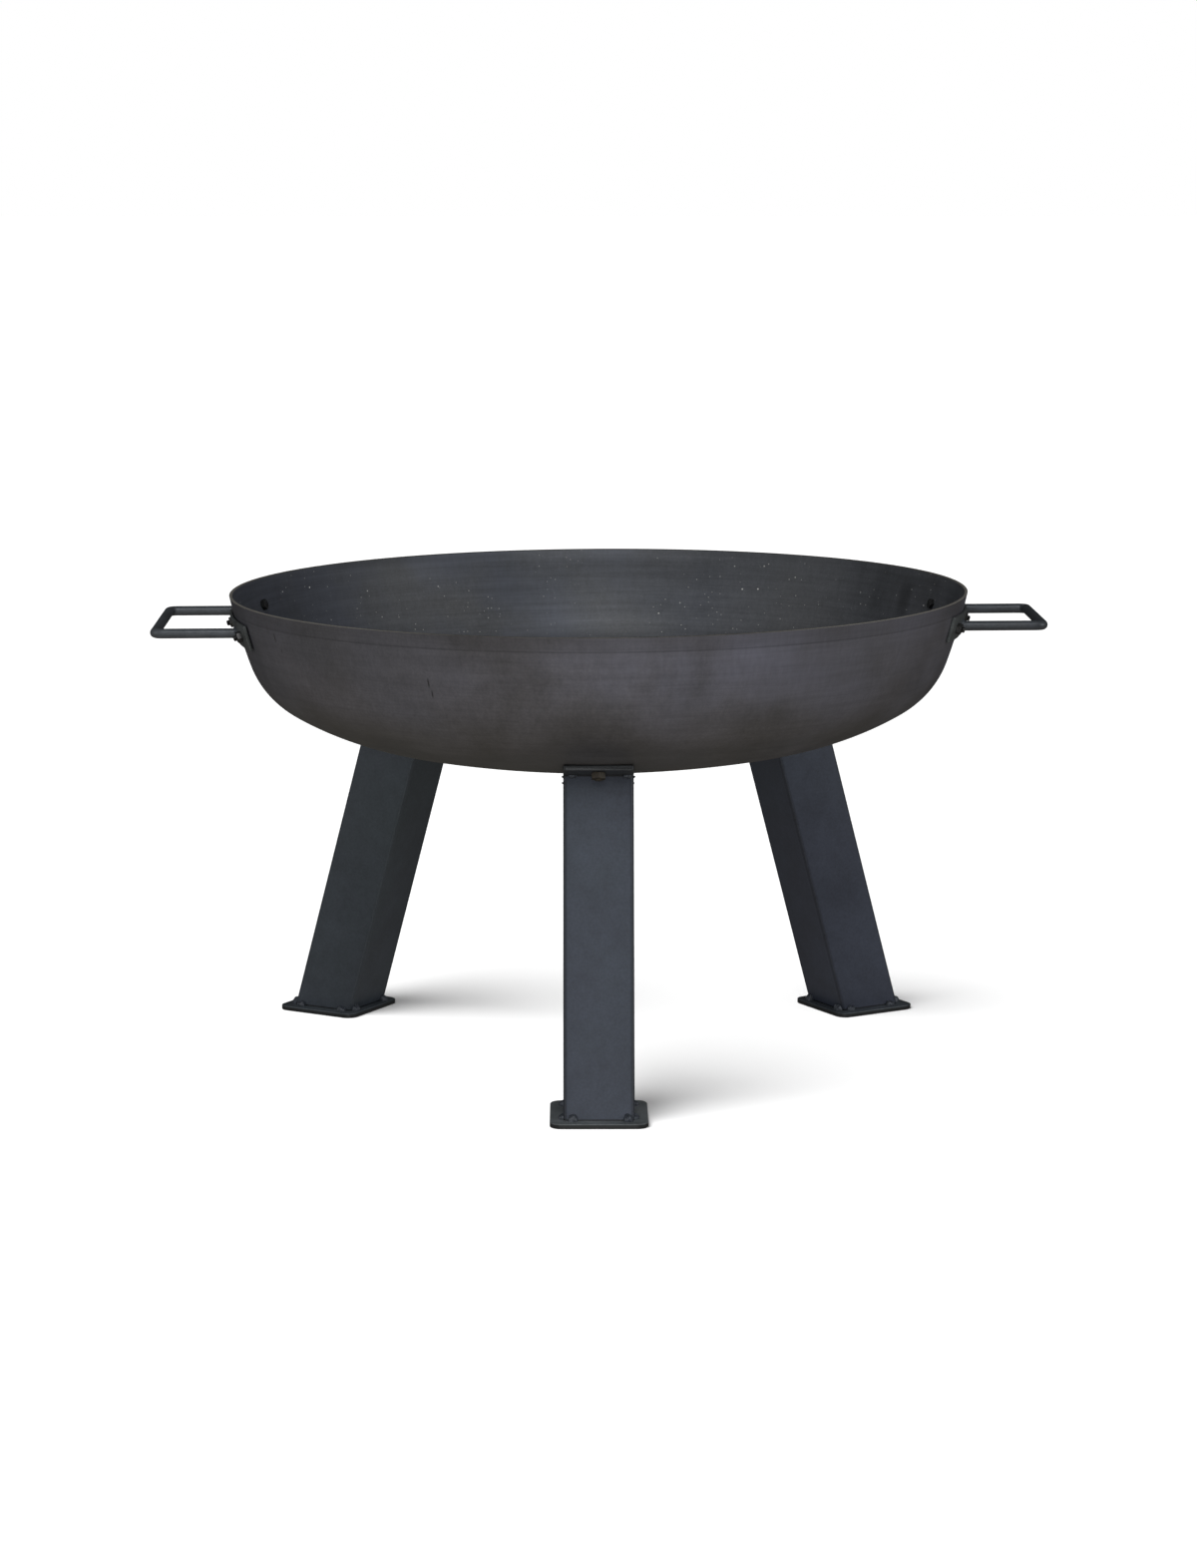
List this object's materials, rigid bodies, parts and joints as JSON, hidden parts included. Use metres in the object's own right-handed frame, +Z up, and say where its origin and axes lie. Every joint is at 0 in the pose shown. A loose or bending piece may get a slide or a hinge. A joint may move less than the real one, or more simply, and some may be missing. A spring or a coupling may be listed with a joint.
{
  "type": "fire bowl",
  "caption": "Pressed steel fire bowl on splayed square-tube legs with welded foot plates, and a round-bar carrying handle on each side.",
  "frame": {"origin": "on the ground, under the bowl's axis", "axes": "+Z up along the bowl's axis; the handles point along +X and -X; the front leg stands at -Y"},
  "size_m": [0.9, 0.75, 0.471],
  "materials": {
    "bowl_steel": "pressed sheet with brown and blue-grey mill scale, satin",
    "leg_steel": "slate-blue mill scale on square tube, satin",
    "plate_steel": "dark mill scale on cut plate, satin",
    "bar_steel": "dark slate mill scale on round bar and strip",
    "weld_metal": "rippled weld bead, heat-darkened",
    "black_fastener": "black oxide",
    "rusty_fastener": "plain steel gone brown"
  },
  "bodies": {
    "root": {"fire_bowl": "bowl_steel", "handle_left_bar": "bar_steel", "handle_left_bolts": "black_fastener", "handle_left_nuts": "black_fastener", "handle_left_strip": "bar_steel", "handle_left_welds": "weld_metal", "handle_right_bar": "bar_steel", "handle_right_bolts": "black_fastener", "handle_right_nuts": "black_fastener", "handle_right_strip": "bar_steel", "handle_right_welds": "weld_metal", "leg_front_bolts": "rusty_fastener", "leg_front_foot_plate": "plate_steel", "leg_front_foot_welds": "weld_metal", "leg_front_nuts": "rusty_fastener", "leg_front_top_plate": "plate_steel", "leg_front_top_welds": "weld_metal", "leg_front_tube": "leg_steel", "leg_left_bolts": "rusty_fastener", "leg_left_foot_plate": "plate_steel", "leg_left_foot_welds": "weld_metal", "leg_left_nuts": "rusty_fastener", "leg_left_top_plate": "plate_steel", "leg_left_top_welds": "weld_metal", "leg_left_tube": "leg_steel", "leg_right_bolts": "rusty_fastener", "leg_right_foot_plate": "plate_steel", "leg_right_foot_welds": "weld_metal", "leg_right_nuts": "rusty_fastener", "leg_right_top_plate": "plate_steel", "leg_right_top_welds": "weld_metal", "leg_right_tube": "leg_steel"}
  },
  "joints": []
}
